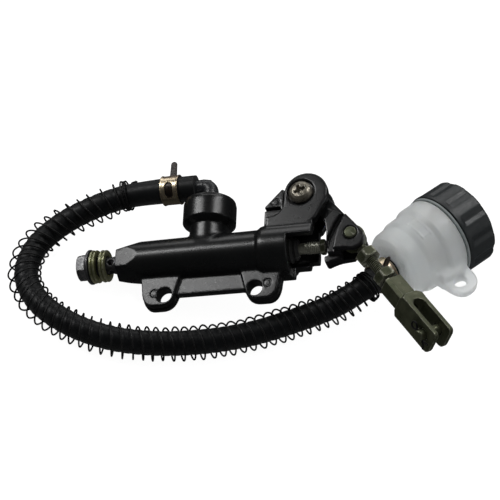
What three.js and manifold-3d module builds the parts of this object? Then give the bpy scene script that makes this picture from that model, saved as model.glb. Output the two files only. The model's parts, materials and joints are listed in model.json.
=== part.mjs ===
// Rear brake master cylinder for a small motorcycle: cast cylinder with a rocker lever, adjustable
// clevis rod, banjo bolt, and a remote reservoir on a sprung hose, lying on a flat surface.
// Millimetres, +Z up. The origin is under the middle of the rigid pieces, on the surface.
import * as THREE from "three";
import { mergeVertices } from "three/addons/utils/BufferGeometryUtils.js";
import Module from "manifold-3d";

const wasm = await Module();
wasm.setup();

// ---------------------------------------------------------------- driving dimensions
const GAP = 0.3; // clearance kept between pieces that touch
const DEG = Math.PI / 180;

// How the cylinder lies: its bore axis turns about Z, rises towards the lever, and rolls.
const BORE_CENTRE = new THREE.Vector3(-22.8, -27.4, 26.6); // bore axis under the inlet boss
const HEADING = -5.6 * DEG;
const PITCH = 14.2 * DEG;
const ROLL = 14 * DEG;

// Casting, along its own bore axis x, with y towards the inlet boss and z out of the ear faces.
const BORE_R = 6.35;
const BODY_LEFT = -50;
const NOSE_RIGHT = -39;
const NOSE_FLAT = 9.2; // hexagon flats, from the axis
const BARREL_R = 11.5;
const HEAD_LEFT = 30;
const HEAD_R = 14;
const HEAD_RIGHT = 59.6;
const HEAD_BORE_R = 9.5;
const WINDOW_LEFT = 46.5;
const EAR_HALF = 4; // half the ears' thickness
const EAR_HOLE_R = 4.1;
const EAR_HOLES = [[-22, -22.2], [28, -22.2]];
const EAR_MIDDLE = 3; // the ears mirror about this x
const BOSS_R = 14.6;
const BOSS_TOP = 32.8;
const BOSS_BORE_R = 11.4;
const BOSS_FLOOR = 22;
const CHEEK_IN = 5.4;
const CHEEK_OUT = 11;
const PIVOT = [53.3, 28.5];
const LUG_CENTRE = [56, 28];
const LUG_R = 11.8;

// Banjo bolt and its two washers.
const BOLT_R = 5;
const BOLT_HEAD_ACROSS = 14;
const BOLT_HEAD_LEFT = -73.2;
const FLANGE = { left: -68.8, right: -65.9, radius: 9.7 };
const WASHERS = [
  { name: "crush_washer_outer", left: -65.5, right: -61.9, radius: 9.3 },
  { name: "crush_washer_inner", left: -60, right: -56.4, radius: 9 },
];

// Inlet elbow.
const NOZZLE_Y = 43.5;
const NOZZLE_R = 3.6;
const STUB_R = 4.1;

// Lever, its pin and the rod that hangs on it. The rod frame has x along the rod.
const LEVER_HUB_R = 9.6;
const LEVER_HALF = 4.6;
const FORK_IN = 4;
const FORK_OUT = 8;
const LEVER_PIN = [79.6, 3.3];
const LEVER_PIN_R = 3.4;
const NOSE_X = 66.4;
const ROD_ANGLE = -54.3 * DEG;
const ROD_R = 3;
const ROD_END = 47;
const ROD_NUTS = [
  { name: "lock_nut_upper", from: 10.9, to: 16.1 },
  { name: "lock_nut_lower", from: 26.6, to: 31.8 },
];
const ROD_NUT_ACROSS = 10.8;
const CLEVIS_TWIST = -35.5 * DEG;
const CLEVIS = { start: 34, shoulder: 49, slot: 52, pin: 68.8, tip: 76.6, neck: 11.2, wide: 12.6, deep: 14, round: 4 };
const CLEVIS_SLOT = 7.6;
const CLEVIS_PIN_R = 3;
const LEVER_SPLIT_ANGLE = -38 * DEG;
const CLEVIS_SPLIT_ANGLE = 200 * DEG;

// Reservoir, along its own axis x from the hose towards the cap, lying on its side.
const RESERVOIR_AT = new THREE.Vector3(73.9, -35.3, 24.5);
const RESERVOIR_HEADING = 39 * DEG;
const CAP = { near: 38.5, far: 57, radius: 24.5, inner: 22 };
const NECK_R = 21.5;
const NECK_END = 47.5;
const TAB_HALF = 2.3;

// Hose route, straight off the elbow, down to the surface and round to the reservoir spigot.
const HOSE_R = 7;
const HOSE_BORE_R = 4.3;
const HOSE_STEPS = 40;
const GUARD = { inner: 7.8, outer: 8.9, from: 0.11, to: 0.957 };
const CLAMP = { inner: 7.45, outer: 8.05, width: 10 };
const CLAMP_TAB = { wide: 4.3, top: 18.2 };
const CLAMP_SLOT = { wide: 4.4, tall: 9, turn: 27 * DEG };
const HOSE_ROUTE = [
  [-29.4, 15.7, 34.7], [-40.5, 16.8, 31.9], [-51.2, 17.8, 29.2], [-70.5, 18.2, 24.2], [-90.0, 13.8, 18.9],
  [-106.0, 6.4, 14.0], [-118.8, -6.6, 10.4], [-122.8, -25.0, 9.3], [-114.6, -43.6, 9.3],
  [-96.8, -58.6, 9.3], [-74.0, -68.4, 9.3], [-50.0, -72.0, 9.3], [-24.5, -70.9, 9.3], [0.5, -66.0, 9.6],
  [25.0, -58.6, 12.0], [44.0, -53.4, 17.2], [60.2, -46.4, 23.9], [66.9, -41.0, 24.5], [75.5, -34.0, 24.5],
];
const GROUND_SHIFT = [-18.627, 40.314, 0]; // moves the layout so that the origin is under its middle

// ---------------------------------------------------------------- materials
const finish = (color, roughness, metalness) => new THREE.MeshStandardMaterial({ color, roughness, metalness });
const MATERIALS = {
  castPaint: finish(0x17181a, 0.5, 0.1),
  boltSteel: finish(0x3a3a3c, 0.45, 0.8),
  oliveZinc: finish(0x4f4d34, 0.45, 0.8),
  goldZinc: finish(0xb08a4c, 0.3, 0.9),
  screwNickel: finish(0x4a463c, 0.3, 0.9),
  rubber: finish(0x141516, 0.75, 0),
  wire: finish(0x1a1a1c, 0.4, 0.6),
  springSteel: finish(0x8c8c8c, 0.35, 0.9),
  aluminium: finish(0xb4b6b8, 0.35, 0.9),
  milkPlastic: finish(0xdfe5e5, 0.4, 0),
  capPlastic: finish(0x202425, 0.5, 0),
  sealGrey: finish(0x5c6060, 0.6, 0),
};

// ---------------------------------------------------------------- solid helpers
function toSolid(geometry) {
  const plain = new THREE.BufferGeometry();
  plain.setAttribute("position", geometry.getAttribute("position"));
  plain.setIndex(geometry.index);
  const merged = mergeVertices(plain, 1e-4);
  const points = merged.getAttribute("position");
  const corners = merged.index.array;
  const kept = [];
  let volume = 0;
  const [a, b, c] = [new THREE.Vector3(), new THREE.Vector3(), new THREE.Vector3()];
  for (let i = 0; i < corners.length; i += 3) {
    const [p, q, r] = corners.slice(i, i + 3);
    if (p === q || q === r || r === p) continue;
    kept.push(p, q, r);
    a.fromBufferAttribute(points, p);
    b.fromBufferAttribute(points, q);
    c.fromBufferAttribute(points, r);
    volume += a.dot(b.cross(c));
  }
  const triVerts = Uint32Array.from(volume < 0 ? kept.reverse() : kept);
  const vertProperties = Float32Array.from(points.array);
  return new wasm.Manifold(new wasm.Mesh({ numProp: 3, vertProperties, triVerts }));
}

function toGeometry(solid) {
  const mesh = solid.getMesh();
  const geometry = new THREE.BufferGeometry();
  geometry.setAttribute("position", new THREE.BufferAttribute(Float32Array.from(mesh.vertProperties), 3));
  geometry.setIndex(Array.from(mesh.triVerts));
  const faceted = geometry.toNonIndexed();
  faceted.computeVertexNormals();
  return faceted;
}

const join = (...pieces) => toGeometry(pieces.map(toSolid).reduce((sum, next) => sum.add(next)));
const cut = (base, ...tools) =>
  toGeometry(tools.map(toSolid).reduce((rest, tool) => rest.subtract(tool), toSolid(base)));

// A turned piece: the profile lists [radius, place along the axis] and closes on itself.
function turned(profile, axis = "x", segments = 20) {
  const points = profile.map(([radius, along]) => new THREE.Vector2(radius, along));
  const onAxis = profile[0][0] === 0 && profile.at(-1)[0] === 0;
  if (!onAxis) points.push(points[0].clone());
  const geometry = new THREE.LatheGeometry(points, segments);
  if (axis === "x") geometry.rotateZ(-Math.PI / 2);
  if (axis === "z") geometry.rotateX(Math.PI / 2);
  return geometry;
}

const rod = (radius, from, to, axis = "x", segments = 20) =>
  turned([[0, from], [radius, from], [radius, to], [0, to]], axis, segments);

const ring = (inner, outer, from, to, axis = "x", segments = 20) =>
  turned([[inner, from], [outer, from], [outer, to], [inner, to]], axis, segments);

function block([x0, x1], [y0, y1], [z0, z1]) {
  const geometry = new THREE.BoxGeometry(x1 - x0, y1 - y0, z1 - z0);
  return geometry.translate((x0 + x1) / 2, (y0 + y1) / 2, (z0 + z1) / 2);
}

function plate(shape, from, to, curveSegments = 6) {
  const geometry = new THREE.ExtrudeGeometry(shape, { depth: to - from, bevelEnabled: false, curveSegments });
  return geometry.translate(0, 0, from);
}

function hexagon(across, from, to, phase = 0) {
  const radius = across / 2 / Math.cos(Math.PI / 6);
  const geometry = new THREE.CylinderGeometry(radius, radius, to - from, 6);
  return geometry.rotateY(phase).translate(0, (from + to) / 2, 0).rotateZ(-Math.PI / 2);
}

function outline(points) {
  return new THREE.Shape(points.map(([x, y]) => new THREE.Vector2(x, y)));
}

const placed = (geometry, x, y, z = 0) => geometry.clone().translate(x, y, z);

// ---------------------------------------------------------------- scene graph helpers
const root = new THREE.Group();
const layout = new THREE.Group();
layout.position.set(...GROUND_SHIFT);
root.add(layout);

function group(parent, position, rotation = [0, 0, 0], order = "XYZ") {
  const made = new THREE.Group();
  made.position.set(...position);
  made.rotation.set(...rotation, order);
  parent.add(made);
  return made;
}

function add(parent, name, geometry, material) {
  const mesh = new THREE.Mesh(geometry, material);
  mesh.name = name;
  parent.add(mesh);
}

const master = group(layout, BORE_CENTRE.toArray(), [ROLL, -PITCH, HEADING], "ZYX");
const rodFrame = group(master, [...LEVER_PIN, 0], [0, 0, ROD_ANGLE]);
const clevisFrame = group(rodFrame, [0, 0, 0], [CLEVIS_TWIST, 0, 0]);
const reservoir = group(layout, RESERVOIR_AT.toArray(), [0, 0, RESERVOIR_HEADING]);

// ---------------------------------------------------------------- casting
function earShape() {
  const ear = new THREE.Shape();
  ear.moveTo(17.2, -6).lineTo(21.8, -22.2);
  ear.quadraticCurveTo(23.8, -28.9, 30, -28.9).lineTo(34.4, -28.9);
  ear.quadraticCurveTo(39.8, -28.9, 41.2, -21.4).lineTo(43.2, -6);
  return ear;
}

function mirroredEar() {
  const right = earShape().getPoints(6);
  return new THREE.Shape(right.map((p) => new THREE.Vector2(2 * EAR_MIDDLE - p.x, p.y)));
}

function cheekShape() {
  const cheek = new THREE.Shape();
  cheek.moveTo(34.6, 0).lineTo(34.6, 15.6).lineTo(39, 16);
  cheek.quadraticCurveTo(44.2, 18, LUG_CENTRE[0] - LUG_R, 25);
  cheek.lineTo(LUG_CENTRE[0] - LUG_R, LUG_CENTRE[1]);
  cheek.absarc(...LUG_CENTRE, LUG_R, Math.PI, 0, true);
  cheek.lineTo(67.6, 25).lineTo(61.6, 12.6).lineTo(HEAD_RIGHT + 0.4, 11.4).lineTo(HEAD_RIGHT + 0.4, 0);
  return cheek;
}

const GUSSET = [[32, 2], [32.2, 24.6], [41.4, 34.6], [43, 34], [43, 26], [43.1, 14], [46, 11], [46, 2]];

function cylinderBody() {
  const trunk = turned([
    [0, BODY_LEFT], [9.4, BODY_LEFT], [BARREL_R, NOSE_RIGHT], [BARREL_R + 0.6, HEAD_LEFT - 1],
    [HEAD_R - 0.4, HEAD_LEFT + 2.6], [HEAD_R, HEAD_LEFT + 4], [HEAD_R, HEAD_RIGHT], [0, HEAD_RIGHT],
  ], "x", 24);
  const boss = turned([
    [0, 0], [10.5, 0], [10.5, 17], [BOSS_R, 19.3], [BOSS_R, BOSS_TOP - 0.7], [BOSS_R - 0.7, BOSS_TOP], [0, BOSS_TOP],
  ], "y", 24);
  const gusset = plate(outline(GUSSET), -CHEEK_OUT, CHEEK_IN - 0.4);
  const front = plate(cheekShape(), CHEEK_IN, CHEEK_OUT, 10);
  const rear = plate(cheekShape(), -CHEEK_OUT, -CHEEK_IN, 10);
  const ears = [plate(earShape(), -EAR_HALF, EAR_HALF), plate(mirroredEar(), -EAR_HALF, EAR_HALF)];
  const web = block([-16, 22], [-22, -6], [-2.5, 1.8]);
  const foot = block([36, 48.4], [-15.4, -6], [-6, 2]);
  const bridge = block([34.6, 46], [0, 15.6], [-CHEEK_OUT, CHEEK_OUT]);
  const whole = join(trunk, boss, gusset, front, rear, ...ears, web, foot, bridge);

  const flats = Array.from({ length: 6 }, (_, i) =>
    block([BODY_LEFT - 1, NOSE_RIGHT], [-9, 9], [NOSE_FLAT, NOSE_FLAT + 5]).rotateX(i * 60 * DEG));
  const earHoles = EAR_HOLES.map(([x, y]) => placed(rod(EAR_HOLE_R, -6, 6, "z", 20), x, y));
  return cut(whole, ...flats, ...earHoles,
    rod(5.4, BODY_LEFT - 1, -41, "x", 20), // outlet port
    rod(2.5, -42, -37, "x", 12),
    rod(BORE_R, -38, 44, "x", 24), // bore
    rod(7.7, 38.6, 40.1, "x", 24), // groove of the retaining ring
    rod(HEAD_BORE_R, 42, 62, "x", 24),
    block([WINDOW_LEFT, 62], [-20, 3], [-3, 20]), // open front and underside of the head
    block([48.4, 62], [-20, -8.3], [-20, 20]),
    block([55.2, 62], [-20, -4.5], [-20, 20]),
    block([43.1, 69], [2, 15.7], [-CHEEK_IN, CHEEK_IN]), // slot of the lever
    rod(BOSS_BORE_R, BOSS_FLOOR, BOSS_TOP + 1, "y", 24),
    placed(rod(1.6, 3, BOSS_FLOOR + 1, "y", 10), 3, 0),
    placed(rod(3.4, -12, 12, "z", 16), ...PIVOT),
    placed(rod(7.5, CHEEK_OUT - 1.6, CHEEK_OUT + 1, "z", 24), ...PIVOT));
}
add(master, "cylinder_body", cylinderBody(), MATERIALS.castPaint);

// ---------------------------------------------------------------- banjo bolt and washers
function banjoBolt() {
  const head = hexagon(BOLT_HEAD_ACROSS, BOLT_HEAD_LEFT, FLANGE.left + 0.5, 12 * DEG);
  const shank = turned([
    [0, FLANGE.left], [FLANGE.radius - 0.5, FLANGE.left], [FLANGE.radius, FLANGE.left + 0.6],
    [FLANGE.radius, FLANGE.right], [BOLT_R, FLANGE.right], [BOLT_R, -42.2], [BOLT_R - 0.8, -41.4], [0, -41.4],
  ], "x", 24);
  return cut(join(head, shank), rod(1.9, -56, -40, "x", 10), placed(rod(1.9, -7, 7, "z", 12), -54, 0));
}
add(master, "banjo_bolt", banjoBolt(), MATERIALS.boltSteel);

for (const { name, left, right, radius } of WASHERS) {
  const edge = 0.9;
  const profile = [
    [BOLT_R + 0.4, left], [radius - edge, left], [radius, left + edge],
    [radius, right - edge], [radius - edge, right], [BOLT_R + 0.4, right],
  ];
  add(master, name, turned(profile), MATERIALS.oliveZinc);
}

// ---------------------------------------------------------------- inlet elbow
function inletElbow() {
  const plug = turned([
    [0, 24], [10.6, 24], [10.6, 25.2], [8.9, 25.2], [8.9, 27.8], [10.6, 27.8], [10.6, 31], [6, 31.4],
    [STUB_R, 32.6], [STUB_R, NOZZLE_Y], [0, NOZZLE_Y],
  ], "y", 24);
  const corner = new THREE.SphereGeometry(STUB_R, 16, 12).translate(0, NOZZLE_Y, 0);
  const nozzle = placed(turned([
    [0, -24], [NOZZLE_R - 0.6, -24], [NOZZLE_R, -22], [NOZZLE_R, 0], [0, 0],
  ], "x", 16), 0, NOZZLE_Y);
  return cut(join(plug, corner, nozzle),
    placed(rod(1.9, -25, 0, "x", 10), 0, NOZZLE_Y), rod(1.9, 23, NOZZLE_Y, "y", 10));
}
add(master, "inlet_elbow", inletElbow(), MATERIALS.rubber);

const oRing = (major, minor) => new THREE.TorusGeometry(major, minor, 6, 20);
add(master, "elbow_o_ring", oRing(10.15, 0.85).rotateX(Math.PI / 2).translate(0, 26.5, 0), MATERIALS.rubber);
const circlip = (inner, outer, from, to, axis, gap) => cut(ring(inner, outer, from, to, axis), gap);
add(master, "elbow_circlip", circlip(8.4, 11, 31.5, 32.4, "y", block([8, 12], [31, 33], [-2, 2])),
  MATERIALS.springSteel);

// ---------------------------------------------------------------- pieces in the bore
function coilSpring(radius, wire, from, to, turns) {
  class Helix extends THREE.Curve {
    getPoint(t) {
      const angle = 2 * Math.PI * turns * t;
      return new THREE.Vector3(from + (to - from) * t, radius * Math.cos(angle), radius * Math.sin(angle));
    }
  }
  const section = new THREE.Shape().absarc(0, 0, wire / 2, 0, 2 * Math.PI);
  const options = { steps: turns * 9, extrudePath: new Helix(), curveSegments: 3, bevelEnabled: false };
  return new THREE.ExtrudeGeometry(section, options);
}
add(master, "return_spring", coilSpring(4.5, 1.1, -36.9, -8.6, 6), MATERIALS.springSteel);
add(master, "spring_seat", ring(1.2, 5.5, -7.7, -6.3, "x", 20), MATERIALS.springSteel);
add(master, "primary_cup", turned([
  [2.8, -4.6], [5.9, -5.4], [6.05, -4.8], [5.7, -1.3], [2.8, -1.3],
], "x", 20), MATERIALS.rubber);
add(master, "piston", turned([
  [0, -6], [2.5, -6], [2.5, -1], [6, -1], [6, 2.6], [3.6, 3.4], [3.6, 23], [6, 24], [6, 27],
  [3.8, 27], [3.8, 31], [6, 31], [6, 38.2], [3.4, 38.2], [3.4, 33.4], [0, 32.4],
], "x", 20), MATERIALS.aluminium);
add(master, "secondary_cup", turned([
  [4.1, 27.3], [5.7, 27.3], [6.05, 30.2], [5.6, 30.7], [4.1, 30.7],
], "x", 20), MATERIALS.rubber);
add(master, "retaining_ring",
  circlip(4.6, 7.4, 38.9, 39.8, "x", block([38, 41], [-8, -4], [-1.6, 1.6])), MATERIALS.springSteel);
add(master, "pushrod", turned([
  [0, 32.8], [1.8, 33.2], [3, 34.6], [3, 61.8], [2, 62.2], [2, 65.4], [1.2, 66], [0, 66],
], "x", 16), MATERIALS.springSteel);
add(master, "pushrod_nut", cut(hexagon(7.5, 62.5, 65.1), rod(2.35, 62, 66, "x", 12)), MATERIALS.oliveZinc);
add(master, "dust_boot", turned([
  [7.9, 42.3], [9.2, 42.3], [9.2, 44.4], [6.6, 45.4], [7.6, 46.8], [5.6, 48], [6.2, 49.4], [4.6, 50.8],
  [3.5, 50.8], [4.9, 49.4], [4.3, 47.8], [6.2, 46.8], [5.2, 45.2], [7.9, 43.6],
], "x", 20), MATERIALS.rubber);

// ---------------------------------------------------------------- lever on its pivot screw
function pivotScrew() {
  const floor = CHEEK_OUT - 1.3;
  const body = turned([
    [0, -10.8], [3, -10.8], [3, floor], [6.4, floor], [6.4, floor + 1.4], [5.4, floor + 2.9],
    [3.4, floor + 3.8], [0, floor + 4],
  ], "z", 24);
  const slots = [block([-3.4, 3.4], [-0.8, 0.8], [floor + 1.6, floor + 5]),
    block([-0.8, 0.8], [-3.4, 3.4], [floor + 1.6, floor + 5])];
  return cut(body, ...slots).translate(...PIVOT, 0);
}
add(master, "pivot_screw", pivotScrew(), MATERIALS.screwNickel);
add(master, "pivot_bush", placed(ring(3.4, 4.7, -4.9, 4.9, "z", 20), ...PIVOT), MATERIALS.oliveZinc);

function leverWeb() {
  const web = new THREE.Shape();
  web.absarc(...PIVOT, LEVER_HUB_R, 38 * DEG, 290 * DEG, false);
  web.quadraticCurveTo(64.6, 17, 65.6, 11).lineTo(NOSE_X, 6).lineTo(NOSE_X, -5);
  web.lineTo(77, -5).lineTo(82, 8.7).lineTo(76.8, 15.1);
  return web;
}

// The lower lip behind the web, which hooks under the pushrod.
function lipShape() {
  const lip = new THREE.Shape();
  lip.moveTo(NOSE_X, 1).lineTo(NOSE_X, -4.8).lineTo(64.2, -5.4);
  lip.quadraticCurveTo(63.8, -9.6, 66.2, -9.6).quadraticCurveTo(71, -7.2, 76, -7).lineTo(80, -6.6).lineTo(80, 1);
  return lip;
}

function forkShape() {
  const fork = new THREE.Shape();
  fork.moveTo(76.8, 15.1).quadraticCurveTo(71.8, 8, 70.3, -5);
  fork.lineTo(77.6, -5.2).quadraticCurveTo(82, -6.6, 85.4, -3.4);
  fork.quadraticCurveTo(87.6, -0.4, 86.4, 3.2).lineTo(82, 8.9);
  return fork;
}

function rockerLever() {
  const fork = plate(forkShape(), -FORK_OUT, FORK_OUT);
  const pinHole = placed(rod(LEVER_PIN_R + GAP, -10, 10, "z", 20), ...LEVER_PIN);
  const eyeRoom = placed(rod(8.2, -FORK_IN, FORK_IN, "z", 24), ...LEVER_PIN);
  const rodRoom = block([74, 96], [-14, 3.3], [-FORK_IN, FORK_IN]);
  const web = plate(leverWeb(), -LEVER_HALF, LEVER_HALF, 8);
  return cut(join(web, fork, plate(lipShape(), -FORK_OUT, 0)), pinHole, eyeRoom, rodRoom,
    placed(rod(5, -6, 6, "z", 20), ...PIVOT));
}
add(master, "rocker_lever", rockerLever(), MATERIALS.castPaint);

add(master, "lever_pin", placed(cut(
  turned([[0, -11.4], [LEVER_PIN_R - 0.4, -11.4], [LEVER_PIN_R, -11], [LEVER_PIN_R, 8.3],
    [LEVER_PIN_R - 0.5, 8.8], [0, 8.8]], "z", 20),
  rod(0.95, -5, 5, "x", 8).rotateZ(LEVER_SPLIT_ANGLE).translate(0, 0, -9.8)), ...LEVER_PIN), MATERIALS.oliveZinc);

// A split pin: two legs drawn as one wire through the hole, with an eye outside it.
function splitPin(reach, eye) {
  const legs = rod(0.6, -reach, reach, "x", 8);
  const loop = new THREE.TorusGeometry(eye, 0.5, 6, 14).translate(reach + eye, 0, 0);
  return join(legs, loop);
}
add(master, "lever_split_pin", placed(splitPin(4.4, 2.1).rotateZ(LEVER_SPLIT_ANGLE), ...LEVER_PIN, -9.8),
  MATERIALS.wire);

// ---------------------------------------------------------------- adjuster rod and clevis
add(rodFrame, "adjuster_rod", cut(
  join(rod(6.9, -3.6, 3.6, "z", 24), turned([[0, 4], [ROD_R, 4], [ROD_R, ROD_END], [0, ROD_END]], "x", 16)),
  rod(LEVER_PIN_R + GAP, -5, 5, "z", 20)), MATERIALS.oliveZinc);

for (const { name, from, to } of ROD_NUTS) {
  const nut = cut(hexagon(ROD_NUT_ACROSS, from, to, 10 * DEG), rod(ROD_R + GAP, from - 1, to + 1, "x", 16));
  add(rodFrame, name, nut, MATERIALS.oliveZinc);
}

function clevisFork() {
  const { start, shoulder, slot, pin, tip, neck, wide, deep, round } = CLEVIS;
  const side = new THREE.Shape();
  side.moveTo(shoulder, -deep / 2).lineTo(tip - round, -deep / 2);
  side.quadraticCurveTo(tip, -deep / 2, tip, round - deep / 2).lineTo(tip, deep / 2 - round);
  side.quadraticCurveTo(tip, deep / 2, tip - round, deep / 2).lineTo(shoulder, deep / 2);
  const fork = plate(side, -wide / 2, wide / 2, 6).rotateX(-Math.PI / 2);
  const square = block([start, shoulder + 1], [-neck / 2, neck / 2], [-neck / 2, neck / 2]);
  const half = CLEVIS_SLOT / 2;
  return cut(join(square, fork),
    rod(ROD_R + GAP, start - 1, slot + half, "x", 16),
    block([slot + half, tip + 1], [-half, half], [-deep, deep]),
    placed(rod(half, -deep, deep, "z", 20), slot + half, 0),
    placed(rod(CLEVIS_PIN_R + GAP, -wide, wide, "y", 16), pin, 0));
}
add(clevisFrame, "clevis_fork", clevisFork(), MATERIALS.oliveZinc);

const pinOut = CLEVIS.wide / 2;
add(clevisFrame, "clevis_pin", placed(cut(turned([
  [0, -pinOut - 3.4], [CLEVIS_PIN_R - 0.4, -pinOut - 3.4], [CLEVIS_PIN_R, -pinOut - 3],
  [CLEVIS_PIN_R, pinOut + GAP], [5, pinOut + GAP], [5, pinOut + 1.7], [4, pinOut + 2.5], [0, pinOut + 2.5],
], "y", 20), rod(0.95, -5, 5, "x", 8).rotateY(CLEVIS_SPLIT_ANGLE).translate(0, -pinOut - 1.7, 0)),
CLEVIS.pin, 0), MATERIALS.oliveZinc);
add(clevisFrame, "clevis_split_pin", placed(
  splitPin(3.9, 2).rotateX(Math.PI / 2).rotateY(CLEVIS_SPLIT_ANGLE), CLEVIS.pin, -pinOut - 1.7), MATERIALS.wire);

// ---------------------------------------------------------------- hose, guard and clamps
const hoseCurve = new THREE.CatmullRomCurve3(HOSE_ROUTE.map((p) => new THREE.Vector3(...p)), false, "centripetal");

class Stretch extends THREE.Curve {
  constructor(curve, from, to) {
    super();
    Object.assign(this, { curve, from, to });
  }
  getPoint(t) {
    return this.curve.getPointAt(this.from + (this.to - this.from) * t);
  }
}

function pipe(curve, inner, outer, steps, curveSegments) {
  const section = new THREE.Shape().absarc(0, 0, outer, 0, 2 * Math.PI);
  section.holes.push(new THREE.Path().absarc(0, 0, inner, 0, 2 * Math.PI, true));
  return new THREE.ExtrudeGeometry(section, { steps, extrudePath: curve, curveSegments, bevelEnabled: false });
}
add(layout, "reservoir_hose", pipe(new Stretch(hoseCurve, 0, 1), HOSE_BORE_R, HOSE_R, HOSE_STEPS, 5), MATERIALS.rubber);
add(layout, "hose_spring_guard",
  pipe(new Stretch(hoseCurve, GUARD.from, GUARD.to), GUARD.inner, GUARD.outer, 30, 5), MATERIALS.wire);

// A spring band round the hose along x, with a slot in its front and a gripping tab on top.
function hoseClamp() {
  const half = CLAMP.width / 2;
  const band = ring(CLAMP.inner, CLAMP.outer, -half, half, "x", 28);
  const tab = block([-CLAMP_TAB.wide / 2, CLAMP_TAB.wide / 2], [CLAMP.inner + 0.1, CLAMP_TAB.top], [-0.5, 0.5]);
  const [wide, tall] = [CLAMP_SLOT.wide / 2, CLAMP_SLOT.tall / 2];
  const slot = block([-wide, wide], [-tall, tall], [4, 10]).rotateX(CLAMP_SLOT.turn);
  return cut(join(band, tab), slot);
}
add(master, "hose_clamp_inlet", placed(hoseClamp(), -22.6, NOZZLE_Y), MATERIALS.goldZinc);
add(reservoir, "hose_clamp_reservoir", hoseClamp().rotateX(100 * DEG).translate(-4.6, 0, 0), MATERIALS.goldZinc);

// ---------------------------------------------------------------- reservoir
function tabShape() {
  const tab = new THREE.Shape();
  tab.moveTo(15.6, -20.4).lineTo(15.6, -24);
  tab.quadraticCurveTo(15.6, -38.6, 24, -38.6).quadraticCurveTo(33.4, -38.6, 34, -29).lineTo(34.6, -20.4);
  return tab;
}

function reservoirBody() {
  const shell = turned([
    [2, -14], [3.3, -14], [3.7, -12.4], [3.7, 2.5], [14.5, 2.5], [18.4, 3.8], [19.8, 7.5], [20.6, 14],
    [21.6, 15.5], [21.6, 24.5], [23.4, 26], [23.4, 36.4], [NECK_R, 36.4], [NECK_R, NECK_END],
    [19.7, NECK_END], [19.7, 16.2], [18.6, 14], [18, 8.2], [16.8, 5.6], [14, 4.5], [2, 4.5],
  ], "x", 28);
  const tab = plate(tabShape(), -TAB_HALF, TAB_HALF, 8);
  const hole = placed(rod(3.2, -4, 4, "z", 20).scale(1.25, 1, 1), 24, -30.6);
  return cut(join(shell, tab), hole);
}
add(reservoir, "reservoir_body", reservoirBody(), MATERIALS.milkPlastic);
add(reservoir, "cap_seal_ring", ring(NECK_R + GAP, 24, 36.8, 38.1, "x", 28), MATERIALS.sealGrey);
add(reservoir, "diaphragm", turned([
  [0, 38], [15, 38], [16, 39], [16.6, 47.8], [21.3, 47.8], [21.3, 48.9], [15.5, 48.9], [14.8, 39.8], [0, 39.2],
], "x", 24), MATERIALS.rubber);
add(reservoir, "diaphragm_plate", ring(1.5, 21.2, 49.3, 50.5, "x", 24), MATERIALS.milkPlastic);

function reservoirCap() {
  const { near, far, radius, inner } = CAP;
  const shell = turned([
    [0, far - 1.4], [18.6, far - 1.4], [19.6, far], [radius - 1.3, far], [radius, far - 1.3],
    [radius, near], [inner, near], [inner, far - 5.8], [0, far - 5.8],
  ], "x", 36);
  const flutes = Array.from({ length: 12 }, (_, i) =>
    placed(rod(6, near + 3, far + 1, "x", 12), 0, radius + 5.2).rotateX(i * 30 * DEG));
  return cut(shell, ...flutes);
}
add(reservoir, "reservoir_cap", reservoirCap(), MATERIALS.capPlastic);

export default root;
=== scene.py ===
"""Looks of a rear brake master cylinder with its rocker lever, clevis rod, hose and remote reservoir.

Each assembly has its own frame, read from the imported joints. Its pieces are drawn there in millimetres,
as turned profiles, swept tubes or distance fields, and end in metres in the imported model's frame.
"""
import json
import math

import bmesh
import bpy
import numpy as np
from mathutils import Matrix, Vector


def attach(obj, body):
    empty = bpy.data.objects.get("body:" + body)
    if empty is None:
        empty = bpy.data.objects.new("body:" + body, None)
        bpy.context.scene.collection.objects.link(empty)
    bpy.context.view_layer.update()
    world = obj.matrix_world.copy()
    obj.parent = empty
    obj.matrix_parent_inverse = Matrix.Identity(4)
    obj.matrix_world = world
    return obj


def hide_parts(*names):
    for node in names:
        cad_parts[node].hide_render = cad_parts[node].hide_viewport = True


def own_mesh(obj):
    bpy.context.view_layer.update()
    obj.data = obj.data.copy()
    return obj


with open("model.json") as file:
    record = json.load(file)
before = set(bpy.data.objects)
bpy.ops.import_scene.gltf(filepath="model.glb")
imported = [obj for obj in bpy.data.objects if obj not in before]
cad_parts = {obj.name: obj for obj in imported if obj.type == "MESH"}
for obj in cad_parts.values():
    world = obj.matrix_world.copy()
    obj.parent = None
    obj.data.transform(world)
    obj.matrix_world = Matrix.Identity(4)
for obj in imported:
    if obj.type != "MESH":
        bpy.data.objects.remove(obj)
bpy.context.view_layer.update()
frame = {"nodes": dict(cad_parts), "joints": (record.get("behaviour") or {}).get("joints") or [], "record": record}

MM = 0.001
DEG = math.pi / 180
JOINTS = {joint["name"]: joint for joint in frame["joints"]}
RECORD = frame["record"]
SLOT_OF = {row["node"]: row["material_slot"] for row in RECORD["subparts"]}
BODY_OF = {node: body for body, nodes in RECORD["behaviour"]["bodies"].items() for node in nodes}

# Driving dimensions, in millimetres, in the frames below.
PIVOT = (53.3, 28.5)  # of the lever, in the cylinder's frame
LEVER_PIN = (79.6, 3.3)
CAP_AT = 45  # the cap joint's place along the reservoir
CLEVIS_PIN = 68.8  # along the rod
LAYOUT = Vector((-0.018627, 0.040314, 0.0))  # in metres: where the camera aims, and the hose route's origin


# ------------------------ frames of the assemblies
def placing(origin, x, z):
    """Matrix from an assembly's millimetres to the model's metres."""
    x, z = x.normalized(), z.normalized()
    y = z.cross(x)
    columns = [x * MM, y * MM, z * MM, origin]
    return Matrix([[c[row] for c in columns] for row in range(3)] + [[0, 0, 0, 1]])


def joint_axis(name):
    return Vector(JOINTS[name]["axis"])


def joint_place(name):
    return Vector(JOINTS[name]["pos_m"])


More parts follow.
